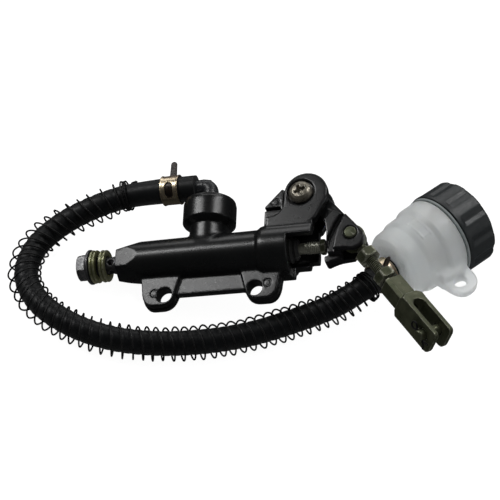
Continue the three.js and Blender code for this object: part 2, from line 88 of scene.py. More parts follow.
def cylinder_frame():
    x, z = -joint_axis("plunger_slide"), -joint_axis("lever_swing")
    z = (z - x * z.dot(x)).normalized()
    y = z.cross(x)
    origin = joint_place("lever_swing") - x * PIVOT[0] * MM - y * PIVOT[1] * MM
    return placing(origin, x, z)


def clevis_frame():
    x, y = joint_axis("clevis_turn"), joint_axis("clevis_pin_spin")
    return placing(joint_place("rod_swing"), x, x.cross(y))


def reservoir_frame():
    x = joint_axis("cap_turn").normalized()
    return placing(joint_place("cap_turn") - x * CAP_AT * MM, x, Vector((0, 0, 1)))


CYLINDER = cylinder_frame()
ROD = placing(joint_place("rod_swing"), joint_axis("clevis_turn"), joint_axis("rod_swing"))
CLEVIS = clevis_frame()
RESERVOIR = reservoir_frame()
WORLD = Matrix.Diagonal((MM, MM, MM, 1))  # for the hose and its guard, drawn in the model's own frame


# ------------------------ camera
def added(name, data):
    """A new object in the scene."""
    made = bpy.data.objects.new(name, data)
    bpy.context.scene.collection.objects.link(made)
    return made


def make_camera():
    distance, elevation = 0.8, 50 * DEG
    data = bpy.data.cameras.new("camera")
    data.sensor_width, data.lens = 36, 101.95
    data.clip_start, data.clip_end = 0.05, 20
    camera = added("camera", data)
    back = Vector((0, -math.cos(elevation), math.sin(elevation)))
    camera.location = LAYOUT + back * distance
    camera.rotation_euler = (-back).to_track_quat("-Z", "Y").to_euler()
    bpy.context.scene.camera = camera


make_camera()


# ------------------------ materials
class Finish:
    """A Principled material whose textures follow the piece's own coordinates, in metres."""

    def __init__(self, name, color, roughness, metallic=0.0, **sockets):
        self.material = bpy.data.materials.new(name)
        self.material.use_nodes = True
        tree = self.material.node_tree
        self.nodes, self.links = tree.nodes, tree.links
        self.shader = self.nodes["Principled BSDF"]
        self.shader.inputs["Base Color"].default_value = (*color, 1)
        self.shader.inputs["Roughness"].default_value = roughness
        self.shader.inputs["Metallic"].default_value = metallic
        for socket, value in sockets.items():
            self.shader.inputs[socket.replace("_", " ")].default_value = value
        self.place = self.nodes.new("ShaderNodeTexCoord").outputs["Object"]
        self.normal = None

    def noise(self, scale, detail):
        texture = self.nodes.new("ShaderNodeTexNoise")
        texture.inputs["Scale"].default_value = scale
        texture.inputs["Detail"].default_value = detail
        self.links.new(self.place, texture.inputs["Vector"])
        return texture.outputs["Fac"]

    def cells(self, scale):
        texture = self.nodes.new("ShaderNodeTexVoronoi")
        texture.inputs["Scale"].default_value = scale
        self.links.new(self.place, texture.inputs["Vector"])
        return texture.outputs["Distance"]

    def edges(self, low, high):
        """1 along convex edges, 0 elsewhere."""
        return self.ramp(self.nodes.new("ShaderNodeNewGeometry").outputs["Pointiness"], low, high, 0, 1)

    def ramp(self, value, low, high, start, end):
        node = self.nodes.new("ShaderNodeMapRange")
        for socket, number in zip(("From Min", "From Max", "To Min", "To Max"), (low, high, start, end)):
            node.inputs[socket].default_value = number
        self.links.new(value, node.inputs["Value"])
        return node.outputs["Result"]

    def product(self, a, b):
        node = self.nodes.new("ShaderNodeMath")
        node.operation = "MULTIPLY"
        self.links.new(a, node.inputs[0])
        self.links.new(b, node.inputs[1])
        return node.outputs["Value"]

    def tint(self, share, color):
        """Mixes color into the base colour by share."""
        socket = self.shader.inputs["Base Color"]
        node = self.nodes.new("ShaderNodeMix")
        node.data_type = "RGBA"
        factor, first, second = (node.inputs[i] for i in (0, 6, 7))  # the colour mix's own sockets
        if socket.is_linked:
            self.links.new(socket.links[0].from_socket, first)
        else:
            first.default_value = socket.default_value
        second.default_value = (*color, 1)
        self.links.new(share, factor)
        self.links.new(node.outputs[2], socket)
        return self

    def rough(self, scale, detail, low, high):
        """Roughness between low and high, by a noise."""
        value = self.ramp(self.noise(scale, detail), 0.3, 0.7, low, high)
        self.links.new(value, self.shader.inputs["Roughness"])
        return self

    def blotches(self, scale, detail, low, high, most, color):
        """Mixes color in where a noise passes from low to high."""
        return self.tint(self.ramp(self.noise(scale, detail), low, high, 0, most), color)

    def bump(self, height, depth_mm, strength):
        node = self.nodes.new("ShaderNodeBump")
        node.inputs["Distance"].default_value = depth_mm * MM
        node.inputs["Strength"].default_value = strength
        self.links.new(height, node.inputs["Height"])
        if self.normal:
            self.links.new(self.normal, node.inputs["Normal"])
        self.normal = node.outputs["Normal"]
        self.links.new(self.normal, self.shader.inputs["Normal"])
        return self


def cast_paint():
    f = Finish("cast_paint", (0.004, 0.0043, 0.0045), 0.32, Specular_IOR_Level=0.5)
    f.rough(600, 3, 0.27, 0.3)
    f.blotches(60, 3, 0.35, 0.7, 0.5, (0.007, 0.0073, 0.0075))
    f.tint(f.product(f.edges(0.52, 0.6), f.ramp(f.noise(260, 3), 0.4, 0.65, 0.0, 0.5)), (0.08, 0.085, 0.09))
    f.bump(f.noise(1900, 2), 0.0025, 0.5).bump(f.noise(420, 2), 0.02, 0.2)
    return f.material


def rubber(name, color, roughness):
    f = Finish(name, color, roughness, Specular_IOR_Level=0.26, Sheen_Weight=0.05)
    f.rough(700, 4, roughness - 0.07, roughness + 0.08)
    f.blotches(90, 4, 0.45, 0.75, 0.6, tuple(min(1, 1.5 * c + 0.001) for c in color))
    f.bump(f.noise(1800, 3), 0.04, 0.4)
    return f.material


def moulded(name, color, roughness, pale):
    f = Finish(name, color, roughness)
    f.rough(520, 5, roughness - 0.08, roughness + 0.08)
    f.tint(f.product(f.edges(0.515, 0.56), f.ramp(f.noise(300, 3), 0.35, 0.6, 0.15, 0.7)), pale)
    f.bump(f.cells(1300), 0.03, 0.5).bump(f.noise(80, 3), 0.12, 0.25)
    return f.material


def plated(name, color, roughness, second, worn, metallic=0.85, blotch=170):
    """Plated steel: two shades in blotches, a fine grain, and bright worn edges."""
    f = Finish(name, color, roughness, metallic)
    f.blotches(blotch, 5, 0.38, 0.66, 1, second)
    f.tint(f.product(f.edges(0.51, 0.57), f.ramp(f.noise(600, 4), 0.35, 0.6, 0.1, 1)), worn)
    f.rough(900, 5, roughness - 0.1, roughness + 0.14)
    f.bump(f.noise(1500, 4), 0.03, 0.5)
    return f.material


def gold_zinc():
    f = Finish("gold_zinc", (0.84, 0.72, 0.5), 0.3, 1.0)
    f.blotches(55, 2, 0.42, 0.62, 0.7, (0.78, 0.6, 0.47))
    f.blotches(42, 2, 0.55, 0.72, 0.6, (0.66, 0.66, 0.44))
    f.rough(900, 4, 0.26, 0.36)
    return f.material


def turned_metal(name, color, roughness):
    f = Finish(name, color, roughness, 1.0)
    f.rough(1600, 3, roughness - 0.06, roughness + 0.1)
    f.blotches(200, 4, 0.45, 0.7, 0.5, tuple(0.7 * c for c in color))
    f.bump(f.noise(2600, 2), 0.02, 0.4)
    return f.material


def milk_plastic():
    f = Finish("milk_plastic", (0.95, 0.97, 0.97), 0.34, IOR=1.45, Transmission_Weight=0.5,
               Subsurface_Weight=0.6, Subsurface_Scale=0.012)
    f.shader.inputs["Subsurface Radius"].default_value = (1.0, 1.0, 1.1)
    f.rough(260, 4, 0.3, 0.48)
    f.blotches(50, 3, 0.4, 0.7, 0.5, (0.86, 0.94, 0.96))
    f.bump(f.noise(340, 4), 0.05, 0.3)
    return f.material


# colour, roughness, second shade, worn edges, and where they differ: metallic, and the blotches' scale
PLATED = {
    "bolt_phosphate": ((0.07, 0.07, 0.075), 0.42, (0.11, 0.11, 0.115), (0.3, 0.3, 0.3)),
    "olive_zinc": ((0.056, 0.063, 0.036), 0.36, (0.095, 0.1, 0.062), (0.45, 0.45, 0.37), 0.75),
    "washer_zinc": ((0.4, 0.4, 0.24), 0.34, (0.22, 0.23, 0.11), (0.9, 0.9, 0.8), 0.85, 90),
    "rod_zinc": ((0.42, 0.42, 0.36), 0.34, (0.28, 0.28, 0.22), (0.7, 0.7, 0.62)),
    "screw_nickel": ((0.26, 0.24, 0.2), 0.34, (0.18, 0.165, 0.13), (0.55, 0.52, 0.45)),
    "guard_wire": ((0.006, 0.006, 0.007), 0.46, (0.01, 0.01, 0.011), (0.02, 0.02, 0.02), 0.6),
    # painted shade: the clamp's tongue and the strip seen through its slot, made near-black as they look in shade
    "dark_steel": ((0.012, 0.009, 0.007), 0.34, (0.024, 0.016, 0.011), (0.06, 0.045, 0.035), 0.5),
}
TURNED_METALS = {  # colour, roughness
    "spring_steel": ((0.5, 0.5, 0.5), 0.28),
    "piston_aluminium": ((0.72, 0.73, 0.75), 0.25),
}
MOULDED = {  # colour, roughness, worn edges
    "elbow_plastic": ((0.014, 0.015, 0.017), 0.36, (0.07, 0.075, 0.08)),
    "plate_plastic": ((0.72, 0.74, 0.72), 0.4, (0.85, 0.86, 0.85)),
    "cap_plastic": ((0.018, 0.021, 0.022), 0.42, (0.09, 0.1, 0.1)),
}
RUBBERS = {  # colour, roughness
    "hose_rubber": ((0.003, 0.0035, 0.004), 0.46),
    "seal_rubber": ((0.012, 0.012, 0.012), 0.5),
    "seal_grey": ((0.2, 0.22, 0.22), 0.5),
}
FINISHES = {"cast_paint": cast_paint(), "gold_zinc": gold_zinc(), "milk_plastic": milk_plastic()}
for make, table in ((plated, PLATED), (turned_metal, TURNED_METALS), (moulded, MOULDED), (rubber, RUBBERS)):
    FINISHES |= {name: make(name, *values) for name, values in table.items()}


# ------------------------ shapes: points in mm, and faces
def joined(*shapes):
    points, faces = [], []
    for some_points, some_faces in shapes:
        shift = sum(len(p) for p in points)
        points.append(np.asarray(some_points, float))
        faces += [[shift + corner for corner in face] for face in some_faces]
    return np.vstack(points), faces


def moved(shape, x=0.0, y=0.0, z=0.0):
    return shape[0] + np.array([x, y, z]), shape[1]


def spun(shape, degrees, axis):
    """Turns a shape about an axis through the origin."""
    turn = np.array(Matrix.Rotation(degrees * DEG, 3, axis.upper()))
    return shape[0] @ turn.T, shape[1]


def eased(profile, radius):
    """The outline with its corners rounded. A corner on the axis stays."""
    result, count = [], len(profile)
    for i, corner in enumerate(profile):
        here = np.array(corner, float)
        before, after = np.array(profile[i - 1], float), np.array(profile[(i + 1) % count], float)
        back, on = before - here, after - here
        room = min(radius, 0.45 * np.linalg.norm(back), 0.45 * np.linalg.norm(on))
        if here[0] < 1e-9 or room < 1e-3:
            result.append(tuple(here))
            continue
        start = here + back / np.linalg.norm(back) * room
        end = here + on / np.linalg.norm(on) * room
        for t in np.linspace(0, 1, 4):
            result.append(tuple((1 - t) ** 2 * start + 2 * t * (1 - t) * here + t ** 2 * end))
    return result


AXES = {"x": (1, 2, 0), "y": (2, 0, 1), "z": (0, 1, 2)}  # across, across, along


def turned(profile, axis="x", ease=0.25, segments=72, radius=None):
    """A closed turned shape from [radius, along] points. radius(r, along, angle) may bend the outside."""
    outline = eased(profile, ease) if ease else [tuple(map(float, p)) for p in profile]
    angles = np.arange(segments) * 2 * math.pi / segments
    first, second, third = AXES[axis]
    points, rows = [], []
    for r, along in outline:
        if r < 1e-6:
            rows.append([len(points)] * segments)
            spot = np.zeros(3)
            spot[third] = along
            points.append(spot)
            continue
        radii = radius(r, along, angles) if radius else np.full(segments, r)
        ring = np.zeros((segments, 3))
        ring[:, first] = radii * np.cos(angles)
        ring[:, second] = radii * np.sin(angles)
        ring[:, third] = along
        rows.append(list(range(len(points), len(points) + segments)))
        points += list(ring)
    faces = []
    for row, following in zip(rows, rows[1:] + rows[:1]):
        for i in range(segments):
            corners = [row[i], row[(i + 1) % segments], following[(i + 1) % segments], following[i]]
            face = [c for k, c in enumerate(corners) if c != corners[k - 1]]
            if len(face) > 2:
                faces.append(face)
    return np.array(points), faces


def rod(radius, low, high, axis="x"):
    return turned([(0, low), (radius, low), (radius, high), (0, high)], axis, 0.3)


def hexagonal(across, low, high, bore=0.0, phase=0, chamfers=(1, 1)):
    """A hexagon along x. A chamfer of 1 turns the corners down at that end; 0 leaves the end square."""
    segments = 120
    between = 360 / segments
    phase = between * DEG * round(phase / between)  # so that a point of the ring falls on each corner
    corner = across / 2 / math.cos(30 * DEG)

    def six_sided(r, along, angles):
        flat = across / 2 / np.cos((angles - phase + 30 * DEG) % (60 * DEG) - 30 * DEG)
        return np.minimum(flat, r) if r > bore + 0.5 else np.full(len(angles), r)

    inner, drop = corner - 0.07 * across, 0.055 * across
    middle, middle_drop = (inner + corner) / 2, drop * 0.42
    starts = [(inner, low), (middle, low + middle_drop), (corner, low + drop)]
    ends = [(corner, high - drop), (middle, high - middle_drop), (inner, high)]
    outside = (starts if chamfers[0] else [(corner, low)]) + (ends if chamfers[1] else [(corner, high)])
    inside = [(0, high), (0, low)]
    if bore:
        inside = [(bore + 0.4, high), (bore, high - 0.4), (bore, low + 0.4), (bore + 0.4, low)]
    return turned(outside + inside, "x", 0, segments, six_sided)


def threaded(radius, low, high, pitch, depth):
    """A rod along x with a helical V thread."""
    steps = int((high - low) / pitch * 10)
    places = np.linspace(low, high, steps + 1)
    runout = np.clip(np.minimum(places - low, high - places) / pitch, 0, 1)

    def profile(r, along, angles):
        share = np.interp(along, places, runout)
        wave = np.abs(((along / pitch - angles / (2 * math.pi)) % 1) * 2 - 1)
        return r - depth * np.clip(wave * 1.25, 0, 1) * share - (1 - share) * depth * 0.9

    outline = [(0, low)] + [(radius, along) for along in places] + [(0, high)]
    return turned(outline, "x", 0, 48, profile)


def frames_along(points):
    """Unit tangents and a pair of cross directions that turn with the line and don't twist."""
    tangents = np.gradient(points, axis=0)
    tangents /= np.linalg.norm(tangents, axis=1)[:, None]
    start = np.cross(tangents[0], [0, 0, 1.0])
    if np.linalg.norm(start) < 0.1:
        start = np.cross(tangents[0], [1.0, 0, 0])
    across = [start / np.linalg.norm(start)]
    for tangent in tangents[1:]:
        following = across[-1] - tangent * across[-1].dot(tangent)
        across.append(following / np.linalg.norm(following))
    across = np.array(across)
    return tangents, across, np.cross(tangents, across)


def swept(points, radius, sides, bore=0.0):
    """A round tube or wire along a line; radius may be one number or one for each point."""
    points = np.asarray(points, float)
    radii = np.broadcast_to(np.asarray(radius, float), (len(points),))
    _, across, up = frames_along(points)
    angles = np.arange(sides) * 2 * math.pi / sides
    circle = np.cos(angles)[None, :, None] * across[:, None] + np.sin(angles)[None, :, None] * up[:, None]
    rings = [points[:, None] + circle * radii[:, None, None]]
    if bore:
        rings.append(points[::-1, None] + circle[::-1] * bore)
    stack = np.concatenate(rings)
    rows = len(stack)
    faces = []
    for row in range(rows if bore else rows - 1):
        a, b = row * sides, (row + 1) % rows * sides
        faces += [[a + i, a + (i + 1) % sides, b + (i + 1) % sides, b + i] for i in range(sides)]
    if not bore:
        faces += [list(range(sides))[::-1], list(range((rows - 1) * sides, rows * sides))]
    return stack.reshape(-1, 3), faces


def smooth_line(points, steps):
    """Centripetal Catmull-Rom curve through the points."""
    points = np.asarray(points, float)
    ends = [2 * points[0] - points[1], *points, 2 * points[-1] - points[-2]]
    line = []
    for p0, p1, p2, p3 in zip(ends, ends[1:], ends[2:], ends[3:]):
        d0, d1, d2 = (np.linalg.norm(b - a) ** 0.5 for a, b in ((p0, p1), (p1, p2), (p2, p3)))
        m1 = ((p1 - p0) / d0 - (p2 - p0) / (d0 + d1) + (p2 - p1) / d1) * d1
        m2 = ((p2 - p1) / d1 - (p3 - p1) / (d1 + d2) + (p3 - p2) / d2) * d1
        for t in np.arange(steps) / steps:
            cubic = (2 * p1 - 2 * p2 + m1 + m2) * t ** 3 + (-3 * p1 + 3 * p2 - 2 * m1 - m2) * t ** 2
            line.append(cubic + m1 * t + p1)
    return np.array(line + [points[-1]])


# ------------------------ distance fields, in mm
def spacing(full):
    return full


class Field:
    """A block of space, sampled every step, with shapes as signed distances on it."""

    def __init__(self, low, high, step):
        self.low, self.step = np.array(low, float), step
        counts = [int((b - a) / step) + 2 for a, b in zip(low, high)]
        lines = [a + np.arange(n) * step for a, n in zip(low, counts)]
        lines = [line.astype(np.float32) for line in lines]
        self.x, self.y, self.z = np.meshgrid(*lines, indexing="ij", sparse=True)
        self.shape = tuple(counts)

    def around(self, axis, at=(0, 0)):
        """Distance from a line along axis, and place along it; at is across it, in the order of AXES."""
        lines = (self.x, self.y, self.z)
        first, second, third = AXES[axis]
        return np.sqrt((lines[first] - at[0]) ** 2 + (lines[second] - at[1]) ** 2), lines[third]

    def rod(self, radius, low, high, axis="x", at=(0, 0), ease=0.0):
        distance, along = self.around(axis, at)
        return slab(distance - radius, along, low, high, ease)

    def box(self, xs, ys, zs, ease=0.0):
        sides = [abs(line - (a + b) / 2) - (b - a) / 2 + ease
                 for line, (a, b) in zip((self.x, self.y, self.z), (xs, ys, zs))]
        outside = np.sqrt(sum(np.maximum(side, 0) ** 2 for side in sides))
        return outside + np.minimum(np.maximum(np.maximum(*sides[:2]), sides[2]), 0) - ease

    def prism(self, outline, low, high, ease=0.0):
        return slab(polygon(self.x, self.y, outline), self.z, low, high, ease)

    def turned(self, outline, axis="x", at=(0, 0)):
        """outline is [radius, along] points."""
        distance, along = self.around(axis, at)
        return polygon(distance, along, outline)

    def surface(self, values):
        """Closed quads where values change sign, by surface nets."""
        values = np.broadcast_to(values, self.shape)
        inside = values < 0
        corners = np.array([(i, j, k) for i in (0, 1) for j in (0, 1) for k in (0, 1)])
        size = [n - 1 for n in self.shape]
        views = [inside[i:i + size[0], j:j + size[1], k:k + size[2]] for i, j, k in corners]
        count = np.sum(views, axis=0, dtype=np.uint8)
        cells = np.argwhere((count > 0) & (count < 8))
        number = np.full(size, -1)
        number[tuple(cells.T)] = np.arange(len(cells))
        held = np.stack([values[tuple((cells + c).T)] for c in corners], 1)
        total, hits = np.zeros((len(cells), 3)), np.zeros(len(cells))
        for a in range(8):
            for b in range(a + 1, 8):
                if abs(corners[a] - corners[b]).sum() != 1:
                    continue
                crosses = (held[:, a] < 0) != (held[:, b] < 0)
                share = held[crosses, a] / (held[crosses, a] - held[crosses, b])
                total[crosses] += corners[a] + share[:, None] * (corners[b] - corners[a])
                hits[crosses] += 1
        points = self.low + (cells + total / hits[:, None]) * self.step
        faces = []
        for axis in range(3):
            u, v = np.eye(3, dtype=int)[[(axis + 1) % 3, (axis + 2) % 3]]
            change = np.diff(inside.astype(np.int8), axis=axis)
            spots = np.argwhere(change)
            spots = spots[(spots[:, (axis + 1) % 3] > 0) & (spots[:, (axis + 2) % 3] > 0)]
            quad = np.stack([number[tuple((spots - s).T)] for s in (0 * u, u, u + v, v)], 1)
            outward = change[tuple(spots.T)] > 0
            quad[outward] = quad[outward, ::-1]
            faces.append(quad)
        return points, np.concatenate(faces)


def polygon(x, y, outline):
    """Signed distance from a closed outline in a plane."""
    outline = [tuple(map(float, p)) for p in outline]
    nearest, sign = None, None
    for (x0, y0), (x1, y1) in zip(outline, outline[1:] + outline[:1]):
        dx, dy = x1 - x0, y1 - y0
        along = np.clip(((x - x0) * dx + (y - y0) * dy) / (dx * dx + dy * dy + 1e-12), 0, 1)
        far = (x - x0 - along * dx) ** 2 + (y - y0 - along * dy) ** 2
        nearest = far if nearest is None else np.minimum(nearest, far)
        crossing = ((y0 > y) != (y1 > y)) & (x < dx * (y - y0) / (dy if dy else 1e-12) + x0)
        sign = crossing if sign is None else sign ^ crossing
    return np.where(sign, -1, 1) * np.sqrt(nearest)


def slab(distance, along, low, high, ease=0.0):
    """A flat shape's distance carried from low to high, with rounded edges."""
    side, end = distance + ease, abs(along - (low + high) / 2) - (high - low) / 2 + ease
    return np.hypot(np.maximum(side, 0), np.maximum(end, 0)) + np.minimum(np.maximum(side, end), 0) - ease


def union(fillet, *distances):
    result = distances[0]
    for distance in distances[1:]:
        near = np.maximum(fillet - abs(result - distance), 0) / fillet
        result = np.minimum(result, distance) - near * near * fillet / 4
    return result


def minus(base, *tools, fillet=0.25):
    for tool in tools:
        base = -union(fillet, -base, tool)
    return base


def arc(centre, radius, start, end, steps=14):
    angles = np.linspace(start * DEG, end * DEG, steps)
    return [(centre[0] + radius * math.cos(a), centre[1] + radius * math.sin(a)) for a in angles]


def curve(start, control, end):
    """Points after start, along a quadratic curve."""
    a, b, c = np.array(start), np.array(control), np.array(end)
    return [tuple((1 - t) ** 2 * a + 2 * t * (1 - t) * b + t * t * c) for t in np.arange(1, 7) / 6]


# ------------------------ pieces
def turn_outward(mesh):
    shape = bmesh.new()
    shape.from_mesh(mesh)
    bmesh.ops.recalc_face_normals(shape, faces=shape.faces)
    shape.to_mesh(mesh)
    shape.free()


def make_piece(name, shape, place, material, sharp=38):
    points, faces = shape
    mesh = bpy.data.meshes.new(name)
    mesh.from_pydata([tuple(p) for p in points], [], [list(map(int, f)) for f in faces])
    mesh.transform(place)
    mesh.validate()
    turn_outward(mesh)
    mesh.materials.append(material)
    mesh.shade_smooth()
    if sharp:
        mesh.set_sharp_from_angle(angle=sharp * DEG)
    return added(name, mesh)


def settle(made, node):
    """The piece stands for this node: it hides the node's imported part and takes its body."""
    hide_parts(node)
    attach(made, BODY_OF[node])
    return made


def stand_for(node, shape, place, sharp=38, thin=None, finish=None):
    made = make_piece(f"{node}_detail", shape, place, FINISHES[finish or SLOT_OF[node]], sharp)
    if thin:
        modifier = made.modifiers.new("thin", "DECIMATE")
        modifier.ratio = thin
        bpy.context.view_layer.objects.active = made
        made.select_set(True)
        bpy.ops.object.modifier_apply(modifier="thin")
        made.select_set(False)
        made.data.shade_smooth()
    return settle(made, node)


# ------------------------ hose: route, tube and wire guard
# The route from LAYOUT in metres: from the elbow down to the floor, round, and up to the reservoir's spigot.
HOSE_ROUTE = [
    (-0.0294, 0.0157, 0.0347), (-0.0405, 0.0168, 0.0319), (-0.0512, 0.0178, 0.0292),
    (-0.0705, 0.0182, 0.0242), (-0.09, 0.0138, 0.0189), (-0.106, 0.0064, 0.014),
    (-0.1188, -0.0066, 0.0104), (-0.1228, -0.025, 0.0093), (-0.1146, -0.0436, 0.0093),
    (-0.0968, -0.0586, 0.0093), (-0.074, -0.0684, 0.0093), (-0.05, -0.072, 0.0093),
    (-0.0245, -0.0709, 0.0093), (0.0005, -0.066, 0.0096), (0.025, -0.0586, 0.012),
    (0.044, -0.0534, 0.0172), (0.0602, -0.0464, 0.0239), (0.0669, -0.041, 0.0245),
    (0.0755, -0.034, 0.0245),
]
HOSE_R = 7.0
HOSE_BORE_R = 4.3
GUARD_ENDS = np.array([0.112, 0.955])  # as shares of the hose's length


def hose_line():
    """Centreline in millimetres, and the distance along it."""
    line = smooth_line((np.array(HOSE_ROUTE) + np.array(LAYOUT)) / MM, 28)
    along = np.concatenate([[0], np.cumsum(np.linalg.norm(np.diff(line, axis=0), axis=1))])
    return line, along


def guard_stations(first, last):
    """Places along the hose, one for each eighth of a turn: uneven turns, closed up at both ends."""
    pitches, close_pitch, closed = (6.3, 5.5, 5.3, 4.5), 1.1, 3.2
    rng = np.random.default_rng(7)
    places, at, turn, pitch = [], first, 0, 0.0
    while at < last:
        places.append(at)
        if turn % 8 == 0:
            share = (at - first) / (last - first)
            pitch = np.interp(share, np.linspace(0, 1, len(pitches)), pitches) * rng.uniform(0.9, 1.1)
        near_end = turn < closed * 8 or last - at < closed * close_pitch
        at += (close_pitch if near_end else pitch) / 8
        turn += 1
    return np.array(places)


def make_hose():
    slimmer, swelling, waist_depth, without_waist = 0.35, 0.45, 0.3, 3.5
    line, along = hose_line()
    total = along[-1]
    # the hose swells where its ends are pushed over the elbow and the spigot
    swell = np.exp(-(along / 30) ** 4) + np.exp(-((total - along) / 16) ** 4)
    # the wire has pressed a soft waist at each of its open turns
    eighths = guard_stations(*GUARD_ENDS * total)
    turns = np.interp(along, eighths, np.arange(len(eighths)) / 8)
    open_turns = (turns > without_waist) & (turns < turns[-1] - without_waist)
    waist = np.cos(math.pi * turns) ** 8 * open_turns
    radius = HOSE_R - slimmer + swelling * swell - waist_depth * waist
    tube = swept(line, radius, 40, HOSE_BORE_R)
    made = make_piece("reservoir_hose_tube", tube, WORLD, FINISHES["hose_rubber"])
    settle(made, "reservoir_hose")
    return made, line, total * MM


def make_guard():
    """A loose coil round the hose: it bears on the inside of the bends and stands off outside."""
    wire, coil, off_centre, slant = 0.5, 8.1, 1.0, 2.5
    wider, droop, fold_wire = 0.7, 1.5, 1.25
    line, along = hose_line()
    eighths = guard_stations(*GUARD_ENDS * along[-1])
    turns = np.arange(len(eighths)) / 8
    fine = np.linspace(0, turns[-1], int(turns[-1] * 32))
    angles = fine * 2 * math.pi
    starts = np.interp(fine, turns, eighths)
    # the open turns are wider than the closed ones, and slant along the hose
    from_end = np.minimum(starts - starts[0], starts[-1] - starts)
    loose = np.clip(from_end / 14 - 0.35, 0, 1)
    starts = starts + slant * loose * np.cos(angles + 50 * DEG)
    tangents, across, up = frames_along(line)
    bend = np.gradient(tangents, axis=0) / np.gradient(along)[:, None]
    window = np.hanning(93)
    kernel, reach = window / window.sum(), len(window) // 2
    bend = np.stack([np.convolve(np.pad(bend[:, k], reach, "edge"), kernel, "valid") for k in range(3)], 1)

    def at_length(values):
        return np.stack([np.interp(starts, along, values[:, k]) for k in range(3)], 1)

    # the coil lies off the hose's centre, mostly sideways, away from the middle of the bend
    lean = -at_length(bend) * 70.0
    lean[:, 2] *= 0.2
    lean *= np.minimum(1, off_centre / np.maximum(np.linalg.norm(lean, axis=1), 1e-9))[:, None]
    # where the hose is off the floor the loose turns hang from it
    height = at_length(line)[:, 2]
    hanging = loose * np.clip((height - 10) / 8, 0, 1)
    lean = lean * (1 - 0.6 * hanging)[:, None] - [0, 0, droop] * hanging[:, None]
    uneven = 0.2 * np.sin(fine * 2.3 + 1.3) + 0.1 * np.sin(fine * 0.71)
    radius = coil + wider * loose + uneven
    points = at_length(line) + lean + radius[:, None] * (
        np.cos(angles)[:, None] * at_length(across) + np.sin(angles)[:, None] * at_length(up))
    points[:, 2] = np.maximum(points[:, 2], wire + 0.03)
    # the wire's cut end is folded over beside the first turn
    past_end = [(0.9, 0.4, 0.6), (2.6, 0.6, 1.2), (3.4, 1.3, 0.8), (2.4, 1.9, 0.3)]
    fold = smooth_line([points[3]] + [points[0] + way for way in past_end], 5)
    both = joined(swept(points, wire, 8), swept(fold, wire * fold_wire, 8))
    made = make_piece("hose_spring_guard_wire", both, WORLD, FINISHES["guard_wire"], 60)
    return settle(made, "hose_spring_guard")


# ------------------------ hose clamps
BAND_R = 7.8  # to the middle of its thickness
BAND_THICK = 0.6
BAND_HALF = 5.0  # half its width


def clamp_band():
    """A plated band about x with raised edges; its slot faces z."""
    field = Field((-5.6, -8.8, -8.8), (5.6, 8.8, 8.8), 0.22)
    distance, along = field.around("x")
    band = slab(abs(distance - BAND_R) - BAND_THICK / 2, along, -BAND_HALF, BAND_HALF, 0.12)
    slot = slab(np.hypot(field.x, np.maximum(abs(field.y) - 2.2, 0)) - 2.25, field.z, 4, 10)
    lip = slab(abs(distance - 8.15) - 0.28, abs(along), 4.3, BAND_HALF, 0.1)
    return field.surface(minus(union(0.3, band, lip), slot, fillet=0.2))


def clamp_tab():
    """The band's tongue, a blade that stands up y from the band, coloured near-black: painted shade."""
    field = Field((-2.6, 6.9, -1.4), (2.6, 18.6, 1.4), 0.2)
    outline = [(-2.15, 7.0), (2.15, 7.0), (1.85, 13)] + arc((0, 16.35), 1.8, 0, 180) + [(-1.85, 13)]
    return field.surface(field.prism(outline, -0.5, 0.5, 0.25))


def clamp_slot_shade():
    """A near-black strip under the band, which its slot shows: painted shade inside the slot."""
    field = Field((-2.2, -8, -8), (2.2, 8, 8), 0.25)
    distance, along = field.around("x")
    return field.surface(slab(abs(distance - 7.2) - 0.22, along, -1.9, 1.9, 0.1))


def make_clamp(node, place, slot_turn, whole_turn=0.0):
    band = spun(clamp_band(), slot_turn, "x")
    dark = joined(clamp_tab(), clamp_slot_shade())
    both = [spun(shape, whole_turn, "x") for shape in (band, dark)]
    made = make_piece(f"{node}_band", joined(*both), place, FINISHES["gold_zinc"])
    # the tongue and the strip under the slot take the near-black second finish: painted shade
    made.data.materials.append(FINISHES["dark_steel"])
    first_dark = len(both[0][1])
    for face in made.data.polygons[first_dark:]:
        face.material_index = 1
    return settle(made, node)


# ------------------------ casting
def ear_outline(inset, mirror):
    """An ear from the front, drawn in by inset; mirror gives the left one."""
    top = -5
    bottom = -28.9 + inset
    outline = [(17.2 + inset, top), (21.8 + inset, -22.2)]
    outline += curve(outline[-1], (23.8 + inset, bottom), (30, bottom)) + [(34.4, bottom)]
    outline += curve(outline[-1], (39.8 - inset, bottom), (41.2 - inset, -21.4)) + [(43.2 - inset, top)]
    return [(6 - x, y) for x, y in outline] if mirror else outline


def cheek_outline():
    x, y, r = 56, 28, 11.8  # the round end's centre and radius
    outline = [(34.6, 0), (34.6, 15.6), (39, 16)] + curve((39, 16), (44.2, 18), (x - r, 25))
    return outline + arc((x, y), r, 180, 0, 24) + [(67.6, 25), (61.6, 12.6), (60, 11.4), (60, 0)]


def barrel(f):
    """The turned barrel along x, with six cast flats that run out along its nose."""
    trunk = f.turned([(0, -50), (9.9, -50), (10.5, -49.3), (11.6, -43), (11.6, -36), (12.1, 29),
                      (13.6, 31.2), (14, 33), (14, 59.6), (0, 59.6)])
    flat, taper = 8.7, 0.22
    for turn in range(6):
        across = math.cos(turn * 60 * DEG) * f.z + math.sin(turn * 60 * DEG) * f.y
        trunk = np.maximum(trunk, (across - flat - taper * (f.x + 50)) * 0.97)
    return trunk


def ejector_marks(f):
    """Shallow round marks, each with a ring, on the ears and the gusset."""
    cuts = []
    for x, y, face in ((-27.5, -21, 4), (34.9, -19.8, 4), (38.2, 27.1, 5)):
        distance, along = f.around("z", (x, y))
        cuts.append(slab(abs(distance - 1.9) - 0.3, along, face - 0.35, face + 1))
        cuts.append(slab(distance - 1.6, along, face - 0.16, face + 1))
    return cuts


